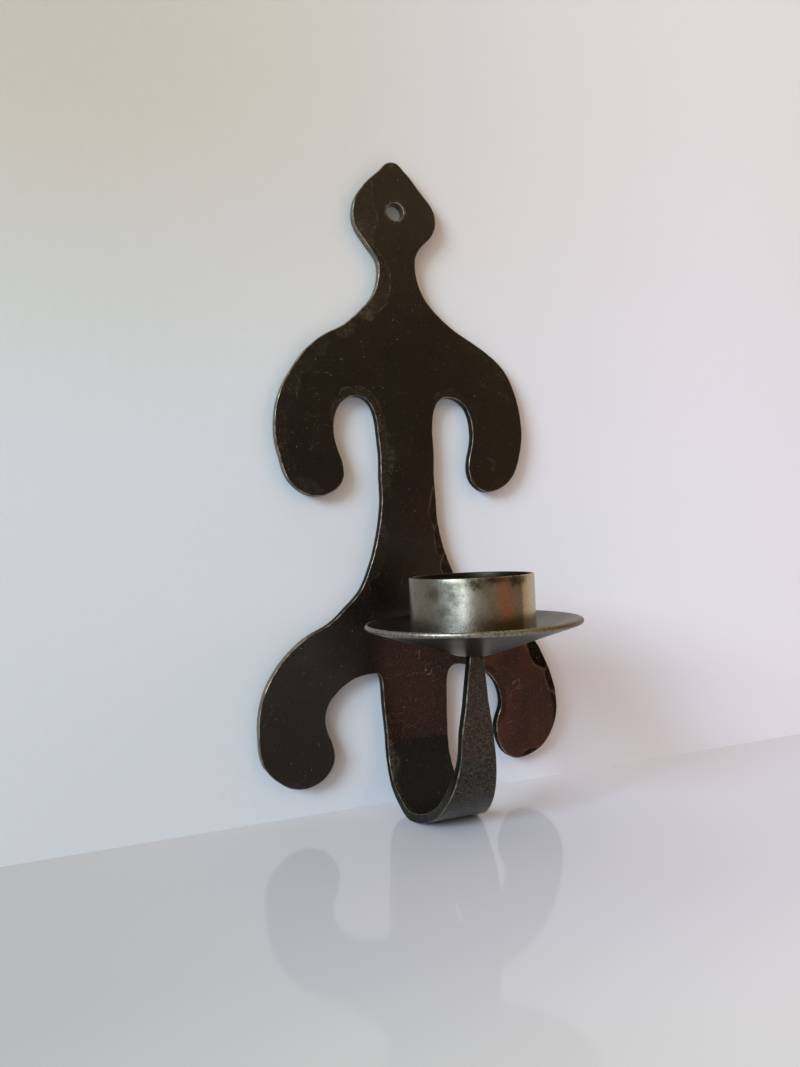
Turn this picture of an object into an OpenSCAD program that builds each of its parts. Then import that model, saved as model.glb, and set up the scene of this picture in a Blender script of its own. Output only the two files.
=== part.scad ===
// Wall candle holder forged from one flat steel bar.
// The bar is cut into a hanging plate with two pairs of lobes. Its tail bends forward and up
// into a tapering arm, whose end is a round tenon. The tenon passes through the drip pan, a
// collar and the floor of the candle cup, and is spread flush in the cup's countersunk hole.
// Millimetres. +Z is up, the front faces -Y, the back of the plate lies on y = 0, and the
// origin is the centre of the hanging hole. A "drop" is a distance below that centre.
// A "w" is a full width across the plate, which is the same on both sides of x = 0.

/* [Plate] */
// Thickness of the forged plate
plate_t = 4; // [3:0.5:6]
// Diameter of the hanging hole
hole_d = 7; // [4:0.5:9]
// Share of the distance between two outline stations that a curve's handle takes
curve_pull = 0.38; // [0.32:0.01:0.44]

/* [Head] */
// Height of the tip above the hanging hole
tip_rise = 19.5; // [17:0.5:23]
// Height of the rounded end of the tip
tip_h = 3; // [2:0.5:4]
// Width of the tip where its rounded end meets the flanks
tip_w = 9; // [7:0.5:11]
// Fall of the flanks from level, in degrees
flank_slope = 49; // [42:1:56]
// Widest part of the head
head_w = 34.5; // [30:0.5:40]
// Drop to the widest part of the head
head_drop = 2; // [0:0.5:5]
// Narrowest part of the neck
neck_w = 15.5; // [12:0.5:20]
// Drop to the narrowest part of the neck
neck_drop = 22; // [19:0.5:26]

/* [Upper lobes] */
// Width across the shoulders, where the slope is gentlest
shoulder_w = 52; // [46:1:58]
// Drop to the shoulders
shoulder_drop = 47; // [44:0.5:50]
// Fall of the shoulders from level, in degrees
shoulder_slope = 27; // [20:1:35]
// Widest part of the upper lobes
upper_w = 104.5; // [96:0.5:114]
// Drop to the widest part of the upper lobes
upper_w_drop = 87.5; // [84:0.5:92]
// Width between the lowest points of the upper lobes
upper_toe_w = 71; // [66:0.5:76]
// Drop to the lowest points of the upper lobes
upper_toe_drop = 111.5; // [108:0.5:116]
// Width between the inner bulges of the upper lobes
upper_lip_w = 52; // [46:0.5:55]
// Drop to the inner bulges of the upper lobes
upper_lip_drop = 101.5; // [99:0.5:104]
// Width across the two upper slots at their widest
upper_slot_w = 59; // [56:0.5:64]
// Drop to the widest part of the upper slots
upper_slot_w_drop = 86; // [82:0.5:90]
// Width between the crowns of the upper slots
upper_crown_w = 39; // [35:0.5:43]
// Drop to the crowns of the upper slots
upper_crown_drop = 72.5; // [68:0.5:77]

/* [Stem] */
// Width of the stem between the lobes
stem_w = 23; // [18:0.5:27]
// Drop to the point where the stem becomes parallel
stem_top_drop = 90; // [86:0.5:94]
// Drop to the point where the stem starts to spread
stem_end_drop = 107; // [102:0.5:112]

/* [Lower lobes] */
// Width across the hips, where the slope is gentlest
hip_w = 74; // [68:1:80]
// Drop to the hips
hip_drop = 160.5; // [157:0.5:164]
// Fall of the hips from level, in degrees
hip_slope = 23; // [16:1:30]
// Widest part of the lower lobes
lower_w = 126; // [116:0.5:136]
// Drop to the widest part of the lower lobes
lower_w_drop = 199.5; // [195:0.5:204]
// Width between the lowest points of the lower lobes
lower_toe_w = 92; // [86:0.5:98]
// Drop to the lowest points of the lower lobes
lower_toe_drop = 220.5; // [217:0.5:225]
// Width between the inner bulges of the lower lobes
lower_lip_w = 69; // [63:0.5:72]
// Drop to the inner bulges of the lower lobes
lower_lip_drop = 208; // [205:0.5:211]
// Width across the two lower slots at their widest
lower_slot_w = 75; // [71:0.5:80]
// Drop to the widest part of the lower slots
lower_slot_w_drop = 196; // [192:0.5:199]
// Width between the crowns of the lower slots
lower_crown_w = 40; // [36:0.5:46]
// Drop to the crowns of the lower slots
lower_crown_drop = 179.5; // [175:0.5:184]

/* [Arm] */
// Width of the tail just below the lower slots' crowns
tail_w = 27; // [24:0.5:31]
// Drop to the point where the tail is that wide
tail_w_drop = 187; // [184:0.5:192]
// Width of the bar round the wall side of the bend
bend_w = 26; // [22:0.5:30]
// Drop to the underside of the bend
bend_drop = 231.5; // [228:0.5:238]
// Height of the bend's wall side, from its underside to where the bar lies on the wall
bend_back_h = 24.5; // [20:0.5:28]
// Height of the bend's front side, from its underside to the foot of the straight limb
bend_front_h = 33; // [28:0.5:38]
// Distance of the bend's lowest point from the wall
bend_mid = 23.5; // [20:0.5:27]
// Thickness of the bar from the lowest point of the bend to the end of the arm
arm_t = 3.6; // [3:0.1:5]
// Distance from the wall to the axis of the pan and cup
reach = 56.5; // [48:0.5:70]
// Distance that the limb's foot stands nearer the wall than its top
limb_lean = 2; // [0:0.5:4]
// Width of the limb at its foot
limb_foot_w = 12.4; // [9:0.1:18]
// Width of the limb at its top
limb_top_w = 4.8; // [4.2:0.1:8]

/* [Joint] */
// Diameter of the tenon at the end of the arm
tenon_d = 3; // [2:0.1:4]
// Diameter that the tenon's end is spread to
spread_d = 5.6; // [4.8:0.1:7]
// Diameter of the collar between the floors of the pan and the cup
collar_d = 8; // [7:0.5:11]
// Clearance between pieces that fit round or on each other
fit_gap = 0.1; // [0.05:0.01:0.2]

/* [Drip pan] */
// Drop to the rim of the drip pan
pan_rim_drop = 156.5; // [152:0.5:160]
// Diameter of the drip pan
pan_d = 73; // [66:0.5:84]
// Depth of the drip pan from its rim to its underside
pan_depth = 11.3; // [9:0.1:14]
// Diameter at which the flat floor of the drip pan turns into its cone
pan_floor_d = 14; // [12:0.5:20]
// Thickness of the drip pan's sheet
pan_t = 1.8; // [1:0.1:2.5]

/* [Candle cup] */
// Outer diameter of the candle cup
cup_d = 42; // [36:0.5:50]
// Height of the candle cup
cup_h = 20.2; // [14:0.1:35]
// Thickness of the candle cup's wall and floor
cup_t = 1.2; // [0.8:0.1:2]
// Radius of the candle cup's outer foot corner
cup_foot_r = 1.5; // [1:0.1:2.5]

/* [Hidden] */
$fn = 96;
curve_steps = 8;
bend_steps = 16;
rim_steps = 10;

// The pan's cone: its slope, and the height of its inner face at a given radius
pan_r = pan_d / 2;
pan_floor_r = pan_floor_d / 2;
pan_slope = atan2(pan_depth - pan_t, pan_r - pan_t / 2 - pan_floor_r);
pan_bottom = -pan_rim_drop - pan_depth;
pan_mitre = pan_t / 2 * tan(pan_slope / 2);
function cone_height(r) = pan_t + (r - pan_floor_r + pan_mitre) * tan(pan_slope);

// The cup stands with its foot corner on the pan's cone
cup_r = cup_d / 2;
cup_seat_r = cup_r - cup_foot_r;
cup_seat_lift = (cup_foot_r + fit_gap) / cos(pan_slope) - cup_foot_r;
cup_bottom = pan_bottom + cone_height(cup_seat_r) + cup_seat_lift;
collar_h = cup_bottom - pan_bottom - pan_t;
tenon_bore_r = tenon_d / 2 + fit_gap;

// Heights along the bend and the limb
bend_bottom = -bend_drop;
bend_back_top = bend_bottom + bend_back_h;
limb_foot = bend_bottom + bend_front_h;
limb_foot_y = -(reach - limb_lean);
limb_h = pan_bottom - limb_foot;

function bezier(p, t) =
    p[0] * pow(1 - t, 3) + p[1] * 3 * t * pow(1 - t, 2) + p[2] * 3 * t * t * (1 - t) + p[3] * pow(t, 3);
function heading(a) = [cos(a), sin(a)];
// Curve from one station to the next. A station is [x, z, heading], and the last point is left out
function station_curve(a, b) =
    let (
        start = [a[0], a[1]],
        end = [b[0], b[1]],
        pull = norm(end - start) * curve_pull,
        handles = [start, start + heading(a[2]) * pull, end - heading(b[2]) * pull, end]
    )
    [for (i = [0:curve_steps - 1]) bezier(handles, i / curve_steps)];
// Arc of an ellipse from angle a0 to a1, both ends included
function ellipse_arc(cx, cy, rx, ry, a0, a1, steps) =
    [for (i = [0:steps]) let (a = a0 + (a1 - a0) * i / steps) [cx + rx * cos(a), cy + ry * sin(a)]];

// Stations down the right-hand edge, at the widest, narrowest, highest and lowest points.
// Headings are degrees: 0 away from the middle, -90 down, -180 towards the middle, -270 up.
right_edge = [
    [0, tip_rise, 0],
    [tip_w / 2, tip_rise - tip_h, -flank_slope],
    [head_w / 2, -head_drop, -90],
    [neck_w / 2, -neck_drop, -90],
    [shoulder_w / 2, -shoulder_drop, -shoulder_slope],
    [upper_w / 2, -upper_w_drop, -90],
    [upper_toe_w / 2, -upper_toe_drop, -180],
    [upper_lip_w / 2, -upper_lip_drop, -270],
    [upper_slot_w / 2, -upper_slot_w_drop, -270],
    [upper_crown_w / 2, -upper_crown_drop, -180],
    [stem_w / 2, -stem_top_drop, -90],
    [stem_w / 2, -stem_end_drop, -90],
    [hip_w / 2, -hip_drop, -hip_slope],
    [lower_w / 2, -lower_w_drop, -90],
    [lower_toe_w / 2, -lower_toe_drop, -180],
    [lower_lip_w / 2, -lower_lip_drop, -270],
    [lower_slot_w / 2, -lower_slot_w_drop, -270],
    [lower_crown_w / 2, -lower_crown_drop, -180],
    [tail_w / 2, -tail_w_drop, -90],
    [bend_w / 2, bend_back_top, -90]
];
last_station = len(right_edge) - 1;
right_points = [
    for (i = [0:last_station - 1]) each station_curve(right_edge[i], right_edge[i + 1]),
    [bend_w / 2, bend_back_top]
];
left_points = [for (i = [len(right_points) - 1:-1:1]) [-right_points[i][0], right_points[i][1]]];

// Side view of the bent bar, as [y, z]. The outer face runs down the wall, round the bend and up
// the front of the limb, and the inner face runs back.
limb_outer_y = limb_foot_y - arm_t / 2;
limb_inner_y = limb_foot_y + arm_t / 2;
overlap = 1;
bar_side = concat(
    [[0, bend_back_top + overlap]],
    ellipse_arc(-bend_mid, bend_back_top, bend_mid, bend_back_h, 0, -90, bend_steps),
    ellipse_arc(-bend_mid, limb_foot, -bend_mid - limb_outer_y, bend_front_h, -90, -180, bend_steps),
    [[-reach - arm_t / 2, pan_bottom], [-reach + arm_t / 2, pan_bottom]],
    ellipse_arc(-bend_mid, limb_foot, -bend_mid - limb_inner_y, bend_front_h - arm_t, -180, -90, bend_steps),
    ellipse_arc(-bend_mid, bend_back_top, bend_mid - plate_t, bend_back_h - arm_t, -90, 0, bend_steps),
    [[-plate_t, bend_back_top + overlap]]
);
// Front view of the limb: the bar narrows evenly along its length from the bend's lowest point
limb_edge = [
    for (i = [0:bend_steps])
        let (a = 90 * i / bend_steps)
        [bend_w / 2 + (limb_foot_w - bend_w) / 2 * a / 90, bend_bottom + bend_front_h * (1 - cos(a))]
];
limb_front = concat(
    [[bend_w / 2, bend_bottom - overlap]],
    limb_edge,
    [[limb_top_w / 2, pan_bottom], [-limb_top_w / 2, pan_bottom]],
    [for (i = [bend_steps:-1:0]) [-limb_edge[i][0], limb_edge[i][1]]],
    [[-bend_w / 2, bend_bottom - overlap]]
);

// Extrudes a front view, given as [x, z], from y = 0 towards the front
module front_view(depth) {
    rotate([90, 0, 0]) linear_extrude(depth) children();
}

// Extrudes a side view, given as [y, z], to both sides of x = 0
module side_view(width) {
    rotate([90, 0, 90]) linear_extrude(width, center = true) children();
}

module at_cup_axis(z) {
    translate([0, -reach, z]) children();
}

module hanging_plate() {
    difference() {
        front_view(plate_t) polygon(concat(right_points, left_points));
        translate([0, overlap, 0])
            rotate([90, 0, 0])
                cylinder(d = hole_d, h = plate_t + 2 * overlap);
    }
}

module bent_bar() {
    // Wall side of the bend, at the tail's full width
    intersection() {
        side_view(bend_w) polygon(bar_side);
        translate([-bend_w, -bend_mid, bend_bottom - overlap])
            cube([2 * bend_w, bend_mid + overlap, bend_back_h + 3 * overlap]);
    }
    // Front side of the bend and the limb, narrowing to the tenon
    intersection() {
        side_view(bend_w) polygon(bar_side);
        translate([0, -bend_mid, 0]) front_view(reach) polygon(limb_front);
    }
}

module tenon() {
    at_cup_axis(pan_bottom - overlap)
        cylinder(d = tenon_d, h = cup_bottom + cup_t - pan_bottom + overlap);
    at_cup_axis(cup_bottom)
        cylinder(d1 = tenon_d, d2 = spread_d, h = cup_t);
}

module forged_bracket() {
    color("#2f2722") {
        hanging_plate();
        bent_bar();
        tenon();
    }
}

// Half section of the pan, as [r, z] above its underside
pan_rim_r = pan_r - pan_t / 2;
pan_rim_h = pan_depth - pan_t / 2;
pan_section = concat(
    [[tenon_bore_r, 0], [pan_floor_r + pan_mitre, 0]],
    ellipse_arc(pan_rim_r, pan_rim_h, pan_t / 2, pan_t / 2, pan_slope - 90, pan_slope + 90, rim_steps),
    [[pan_floor_r - pan_mitre, pan_t], [tenon_bore_r, pan_t]]
);

module drip_pan() {
    color("#6f6d68") at_cup_axis(pan_bottom) rotate_extrude() polygon(pan_section);
}

module spacer_collar() {
    color("#8a8680")
        at_cup_axis(pan_bottom + pan_t)
            difference() {
                cylinder(d = collar_d, h = collar_h);
                translate([0, 0, -overlap]) cylinder(r = tenon_bore_r, h = collar_h + 2 * overlap);
            }
}

// Half section of the cup, as [r, z] above its underside. The hole in its floor is countersunk
cup_section = concat(
    [[tenon_bore_r, 0]],
    ellipse_arc(cup_seat_r, cup_foot_r, cup_foot_r, cup_foot_r, -90, 0, rim_steps),
    [[cup_r, cup_h], [cup_r - cup_t, cup_h], [cup_r - cup_t, cup_t], [spread_d / 2 + fit_gap, cup_t]]
);

module candle_cup() {
    color("#a39d90") at_cup_axis(cup_bottom) rotate_extrude() polygon(cup_section);
}

forged_bracket();
drip_pan();
spacer_collar();
candle_cup();
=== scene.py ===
# %% [markdown]
# # A forged wall candle holder
#
# The holder is one flat steel bar, forged into a plate with a pointed head and four
# drooping lobes. Its tail is bent forward and up into an arm, and a drip pan and a
# candle cup are riveted on the arm's end. The packed CAD model gives the size and the
# place of every piece. This lesson gives them their hammered shapes and their finishes.

# %% Load the packed model
import math

import bmesh
import bpy
import numpy as np
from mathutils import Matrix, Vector, noise


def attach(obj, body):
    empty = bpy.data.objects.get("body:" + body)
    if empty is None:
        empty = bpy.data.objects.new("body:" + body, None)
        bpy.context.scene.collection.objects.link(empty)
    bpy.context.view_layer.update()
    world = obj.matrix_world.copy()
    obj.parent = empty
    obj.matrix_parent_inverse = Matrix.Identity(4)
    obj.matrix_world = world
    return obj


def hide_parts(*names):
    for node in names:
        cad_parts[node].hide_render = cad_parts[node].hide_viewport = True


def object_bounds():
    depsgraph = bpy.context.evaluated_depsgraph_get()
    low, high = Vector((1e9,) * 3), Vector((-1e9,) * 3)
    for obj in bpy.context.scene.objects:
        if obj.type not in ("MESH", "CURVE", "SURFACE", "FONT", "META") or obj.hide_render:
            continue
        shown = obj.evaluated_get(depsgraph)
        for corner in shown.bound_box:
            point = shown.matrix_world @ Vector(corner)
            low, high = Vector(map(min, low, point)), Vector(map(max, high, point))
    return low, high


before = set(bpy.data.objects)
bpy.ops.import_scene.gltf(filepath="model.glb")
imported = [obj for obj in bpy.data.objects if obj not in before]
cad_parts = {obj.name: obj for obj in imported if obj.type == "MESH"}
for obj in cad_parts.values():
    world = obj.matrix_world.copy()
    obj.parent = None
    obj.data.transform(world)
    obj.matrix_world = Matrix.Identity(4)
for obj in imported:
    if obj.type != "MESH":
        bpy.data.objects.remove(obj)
cad_low, cad_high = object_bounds()
MM = 0.001
print("nodes:", sorted(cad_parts))
print("size in mm:", [round(side / MM, 1) for side in cad_high - cad_low])

# %% [markdown]
# ## The camera
#
# The picture was taken from the left of the plate, at the height of its middle, with the
# camera a little rolled. The outline of the plate, pan and cup was fitted to find where
# it stood. A lens of 29 mm on a 36 mm sensor gives the same wide perspective, in which
# the cup is clearly larger than the plate behind it would make it.

# %% Camera
CAMERA_PLACE = (-0.1289, -0.3171, -0.1272)
CAMERA_TURN = (90.15, 2.53, -21.73)
camera_data = bpy.data.cameras.new("camera")
camera_data.lens = 29.12
camera_data.sensor_width = 36
camera_data.clip_start = 0.01
camera = bpy.data.objects.new("camera", camera_data)
camera.location = CAMERA_PLACE
camera.rotation_euler = [math.radians(angle) for angle in CAMERA_TURN]
bpy.context.scene.collection.objects.link(camera)
bpy.context.scene.camera = camera
print("camera stands", round(-camera.location.y / MM), "mm in front of the wall")

# %% [markdown]
# ## Finishes as nodes
#
# A finish could be painted on, but then it is only as fine as the picture. Here every
# finish is a tree of nodes that reads the real place on the piece in metres, so its
# grain has the right size from near and far. Two small classes do the wiring. The first
# adds plain nodes, and it also serves for the light of the room.

# %% Plain nodes
class Nodes:
    """A node tree under construction. Its methods add nodes and give back their output."""

    def __init__(self, tree, coordinates):
        self.tree = tree
        self.tree.nodes.clear()
        self.place = self.add("ShaderNodeTexCoord").outputs[coordinates]

    def add(self, kind, **settings):
        made = self.tree.nodes.new(kind)
        for name, value in settings.items():
            setattr(made, name, value)
        return made

    def put(self, value, socket):
        """Links a socket, or sets a plain value, on an input."""
        if isinstance(value, bpy.types.NodeSocket):
            self.tree.links.new(value, socket)
        else:
            socket.default_value = value

    def math(self, operation, a, b=0.0):
        made = self.add("ShaderNodeMath", operation=operation)
        self.put(a, made.inputs[0])
        self.put(b, made.inputs[1])
        return made.outputs[0]

    def both(self, first, *others):
        """The product of the shares: 1 only where all of them are 1."""
        for other in others:
            first = self.math("MULTIPLY", first, other)
        return first

    def most(self, first, *others):
        """The largest of the shares."""
        for other in others:
            first = self.math("MAXIMUM", first, other)
        return first

    def ramp(self, value, low, high, start=0.0, end=1.0):
        """Goes smoothly from start to end while value goes from low to high."""
        made = self.add("ShaderNodeMapRange", interpolation_type="SMOOTHSTEP")
        given = {"Value": value, "From Min": low, "From Max": high, "To Min": start, "To Max": end}
        for name, number in given.items():
            self.put(number, made.inputs[name])
        return made.outputs["Result"]

    def less(self, value, share, left):
        """The value where share is 0, and only this part of it left where share is 1."""
        return self.both(value, self.ramp(share, 0, 1, 1, left))

    def blend(self, share, first, second):
        """Mixes two colours. share 0 gives the first and share 1 the second."""
        made = self.add("ShaderNodeMix", data_type="RGBA", clamp_factor=True)
        self.put(share, made.inputs[0])
        for number, mixed in ((6, first), (7, second)):
            given = mixed if isinstance(mixed, bpy.types.NodeSocket) else (*mixed, 1)
            self.put(given, made.inputs[number])
        return made.outputs[2]


def colour(red, green, blue):
    """A colour as an image program gives it, 0 to 255, as the linear colour of Blender."""
    return [((c / 255 + 0.055) / 1.055) ** 2.4 if c > 10 else c / 255 / 12.92
            for c in (red, green, blue)]


print("a mid grey of 128 is", round(colour(128, 128, 128)[0], 3), "in linear light")

# %% [markdown]
# ## Patterns
#
# The second class is a material with the patterns that forged steel shows: cloudy
# changes of tone, hairline scratches, tiny specks, and zones that are given by where
# they lie on the holder. Its bump gives only relief finer than the mesh.

# %% Patterns of a finish
class Finish(Nodes):
    """A material. Its patterns read the place on the piece in metres."""

    def __init__(self, name):
        self.material = bpy.data.materials.new(name)
        self.material.use_nodes = True
        super().__init__(self.material.node_tree, "Object")
        self.output = self.add("ShaderNodeOutputMaterial")

    def mix(self, share, first, second):
        """Mixes two colours that are given from 0 to 255."""
        return self.blend(share, colour(*first), colour(*second))

    def lay(self, share, over, strength=1.0):
        """Lays a colour over the skin as it is so far, where share is 1."""
        if strength != 1.0:
            share = self.both(share, strength)
        if not isinstance(over, bpy.types.NodeSocket):
            over = colour(*over)
        self.skin = self.blend(share, self.skin, over)

    def axis(self, letter):
        """The place along one axis, in metres."""
        split = self.add("ShaderNodeSeparateXYZ")
        self.put(self.place, split.inputs[0])
        return split.outputs[letter]

    def zone(self, letter, start, full):
        """0 up to start and 1 from full on, both in mm along one axis, either way."""
        return self.ramp(self.axis(letter), start * MM, full * MM)

    def spot(self, centre, reach):
        """1 at a place and 0 at reach from it, in mm."""
        moved = self.add("ShaderNodeMapping", vector_type="TEXTURE")
        self.put(self.place, moved.inputs["Vector"])
        moved.inputs["Location"].default_value = [c * MM for c in centre]
        length = self.add("ShaderNodeVectorMath", operation="LENGTH")
        self.put(moved.outputs[0], length.inputs[0])
        return self.ramp(length.outputs["Value"], 0, reach * MM, 1, 0)

    def attribute(self, name):
        return self.add("ShaderNodeAttribute", attribute_name=name).outputs["Fac"]

    def noise(self, size, detail=3.0, roughness=0.55, shift=(0, 0, 0)):
        """Cloudy noise whose patches are about size metres wide."""
        moved = self.add("ShaderNodeMapping")
        self.put(self.place, moved.inputs["Vector"])
        moved.inputs["Location"].default_value = shift
        made = self.add("ShaderNodeTexNoise")
        self.put(moved.outputs[0], made.inputs["Vector"])
        made.inputs["Scale"].default_value = 1 / size
        made.inputs["Detail"].default_value = detail
        made.inputs["Roughness"].default_value = roughness
        return made.outputs["Fac"]

    def uneven(self, size, detail, **more):
        """Noise that swings about 0 instead of about one half."""
        return self.math("SUBTRACT", self.noise(size, detail, **more), 0.5)

    def hairlines(self, size, width, shift=(0, 0, 0)):
        """Thin curly lines, as of fine scratches: where a cloudy noise is just one half."""
        off = self.math("ABSOLUTE", self.uneven(size, 1, roughness=0.3, shift=shift))
        return self.ramp(off, 0, width, 1, 0)

    def specks(self, spacing, radius):
        """Small round specks on the front, one in each cell of the spacing, in metres."""
        front = self.add("ShaderNodeCombineXYZ")
        self.put(self.axis("X"), front.inputs[0])
        self.put(self.axis("Z"), front.inputs[1])
        cells = self.add("ShaderNodeTexVoronoi", voronoi_dimensions="2D")
        self.put(front.outputs[0], cells.inputs["Vector"])
        cells.inputs["Scale"].default_value = 1 / spacing
        size = radius / spacing
        return self.ramp(cells.outputs["Distance"], size * 0.6, size, 1, 0)

    def bump(self, height, depth):
        made = self.add("ShaderNodeBump")
        made.inputs["Strength"].default_value = 1
        made.inputs["Distance"].default_value = depth
        self.put(height, made.inputs["Height"])
        return made.outputs["Normal"]

    def surface(self, **inputs):
        """Ends the material in a Principled shader with these inputs."""
        shader = self.add("ShaderNodeBsdfPrincipled")
        for name, value in inputs.items():
            self.put(value, shader.inputs[name.replace("_", " ")])
        self.put(shader.outputs[0], self.output.inputs["Surface"])
        return shader.outputs[0]

    def report(self, last):
        print(self.material.name, "with", last, "takes", len(self.tree.nodes), "nodes")


print("patterns:", [name for name in vars(Finish) if not name.startswith("_")])

# %% [markdown]
# ## The room
#
# The holder stands on a glossy pale floor against a pale wall. The floor is a plain
# sheet at the lowest point of the bend, and it is glossy enough to show the holder as a
# faint grey image. Its colour is painted cooler and darker at the left, and paler in
# front: painted light, for the fall of the room's light across it.

# %% Floor
def sheet(name, size_x, size_y, place, upright=False):
    """A flat sheet of the given size with its middle at place. It faces up or forward."""
    mesh = bpy.data.meshes.new(name)
    bm = bmesh.new()
    bmesh.ops.create_grid(bm, x_segments=1, y_segments=1, size=0.5)
    bmesh.ops.scale(bm, vec=(size_x, size_y, 1), verts=bm.verts)
    if upright:
        quarter = Vector((0, 1, 0)).rotation_difference(Vector((0, 0, 1))).to_matrix()
        bmesh.ops.rotate(bm, cent=(0, 0, 0), matrix=quarter, verts=bm.verts)
    bmesh.ops.translate(bm, vec=place, verts=bm.verts)
    bm.to_mesh(mesh)
    bm.free()
    made = bpy.data.objects.new(name, mesh)
    bpy.context.scene.collection.objects.link(made)
    return made


pale_floor = Finish("pale_floor")
# Painted light: the floor is painted darker and cooler at the left and paler in front, for the fall of the
# room's light.
front_painted_light = pale_floor.zone("Y", -100, -190)
left_floor_shaded = pale_floor.mix(front_painted_light, (180, 186, 193), (190, 196, 199))
right_floor_lit = pale_floor.mix(front_painted_light, (222, 223, 242), (237, 237, 250))
floor_cloud = pale_floor.noise(0.3, detail=2)
pale_floor.surface(
    Base_Color=pale_floor.blend(pale_floor.zone("X", -200, 160), left_floor_shaded, right_floor_lit),
    Specular_IOR_Level=0.30,
    Roughness=pale_floor.ramp(floor_cloud, 0.3, 0.7, 0.06, 0.09))
floor = sheet("floor", 6, 6, (0, 0, cad_low.z))
floor.data.materials.append(pale_floor.material)
print("floor lies", round(floor.data.vertices[0].co.z / MM, 1), "mm from the hanging hole")

# %% [markdown]
# The wall is a sheet just behind the plate. It shows only its front and only to the
# camera. So the back of the plate still gets light, and it can be looked at from behind.
# The wall is painted warmer and darker high at the left, cooler towards the floor and
# brighter at the right: painted light, for the fall of the window light across it.

# %% Wall
pale_wall = Finish("pale_wall")
# Painted light: darker and warmer high at the left, brighter at the right.
left_wall_shaded = pale_wall.mix(pale_wall.zone("Z", -120, 60), (198, 203, 209), (186, 181, 169))
right_wall_lit = pale_wall.mix(pale_wall.zone("Z", -210, 80), (226, 226, 241), (220, 219, 226))
wall_front = pale_wall.surface(
    Base_Color=pale_wall.blend(pale_wall.zone("X", -150, 200), left_wall_shaded, right_wall_lit),
    Roughness=0.6,
    Normal=pale_wall.bump(pale_wall.noise(0.004, detail=4), 0.0001))
one_sided = pale_wall.add("ShaderNodeMixShader")
pale_wall.put(pale_wall.add("ShaderNodeNewGeometry").outputs["Backfacing"], one_sided.inputs[0])
pale_wall.put(wall_front, one_sided.inputs[1])
pale_wall.put(pale_wall.add("ShaderNodeBsdfTransparent").outputs[0], one_sided.inputs[2])
pale_wall.put(one_sided.outputs[0], pale_wall.output.inputs["Surface"])
BEHIND_PLATE = 0.001
wall = sheet("wall", 6, 3, (0, BEHIND_PLATE, cad_low.z + 1.5), upright=True)
wall.data.materials.append(pale_wall.material)
wall.visible_diffuse = False
wall.visible_glossy = False
wall.visible_transmission = False
wall.visible_shadow = False
print("wall faces", tuple(wall.data.polygons[0].normal))

# %% [markdown]
# ## The light
#
# Cool daylight comes from a wide window in front and to the left. A narrow gap beside
# it, near and low, gives the bright upright line on the cup. The rest of the room is dim
# and warm, so a weak warm lamp stands at the right: it makes the shadow at the right of
# the holder brownish. It isn't seen in the steel, where it would be a second highlight.

# %% Lamps
HOLDER_MIDDLE = Vector((0, -0.03, -0.1))


def toward(azimuth, elevation):
    """The direction that many degrees to the right of the front, and that many up."""
    a = math.radians(azimuth)
    e = math.radians(elevation)
    return Vector((math.sin(a) * math.cos(e), -math.cos(a) * math.cos(e), math.sin(e)))


def soft_lamp(name, azimuth, elevation, distance, width, height, power, tint):
    """A soft lamp that looks at the middle of the holder."""
    data = bpy.data.lights.new(name, "AREA")
    data.shape = "RECTANGLE"
    data.size = width
    data.size_y = height
    data.energy = power
    data.color = tint
    lamp = bpy.data.objects.new(name, data)
    away = toward(azimuth, elevation)
    lamp.location = HOLDER_MIDDLE + away * distance
    lamp.rotation_euler = away.to_track_quat("Z", "Y").to_euler()
    bpy.context.scene.collection.objects.link(lamp)
    return lamp


soft_lamp("window", -60, 22, 3.0, 1.2, 1.2, 103.5, (0.68, 0.87, 1.0))
soft_lamp("window_gap", -41, 4, 1.3, 0.24, 0.45, 1.5, (0.86, 0.94, 1.0))
warm_room = soft_lamp("warm_room", 46, 15, 3.0, 1.8, 1.4, 12.5, (1.0, 0.50, 0.15))
warm_room.visible_glossy = False
print("lamps:", [light.name for light in bpy.data.lights])

# %% [markdown]
# The world is the rest of the room, and the dark steel shows mostly that: a warm
# ceiling, a dim brown room in front and at the right, and the pale side of the wall.
# The camera itself sees a plain pale grey where no floor or wall is.

# %% World
world = bpy.data.worlds.new("room")
bpy.context.scene.world = world
world.use_nodes = True
room = Nodes(world.node_tree, "Generated")


def facing(azimuth, elevation, start, full):
    """0 up to start and 1 from full on, as the world is looked at nearer to a direction."""
    dot = room.add("ShaderNodeVectorMath", operation="DOT_PRODUCT")
    room.put(room.place, dot.inputs[0])
    dot.inputs[1].default_value = toward(azimuth, elevation)
    return room.ramp(dot.outputs["Value"], start, full)


CEILING = (0.77, 0.56, 0.31)
DIM_FRONT = (0.20, 0.165, 0.12)
DIM_RIGHT = (0.27, 0.155, 0.085)
WALL_SIDE = (0.55, 0.53, 0.52)
PLAIN_GREY = (0.66, 0.67, 0.69)
around = room.blend(facing(90, 0, 0.15, 0.55), DIM_FRONT, DIM_RIGHT)
around = room.blend(facing(0, 90, 0.15, 0.6), around, CEILING)
around = room.blend(facing(180, 0, -0.03, 0.08), around, WALL_SIDE)
behind = room.add("ShaderNodeLightPath").outputs["Is Camera Ray"]
background = room.add("ShaderNodeBackground")
room.put(room.blend(behind, around, PLAIN_GREY), background.inputs["Color"])
background.inputs["Strength"].default_value = 1.0
world_output = room.add("ShaderNodeOutputWorld")
room.put(background.outputs[0], world_output.inputs["Surface"])
bpy.context.scene.view_settings.view_transform = "Standard"
print("the room's light takes", len(room.tree.nodes), "nodes")

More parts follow.
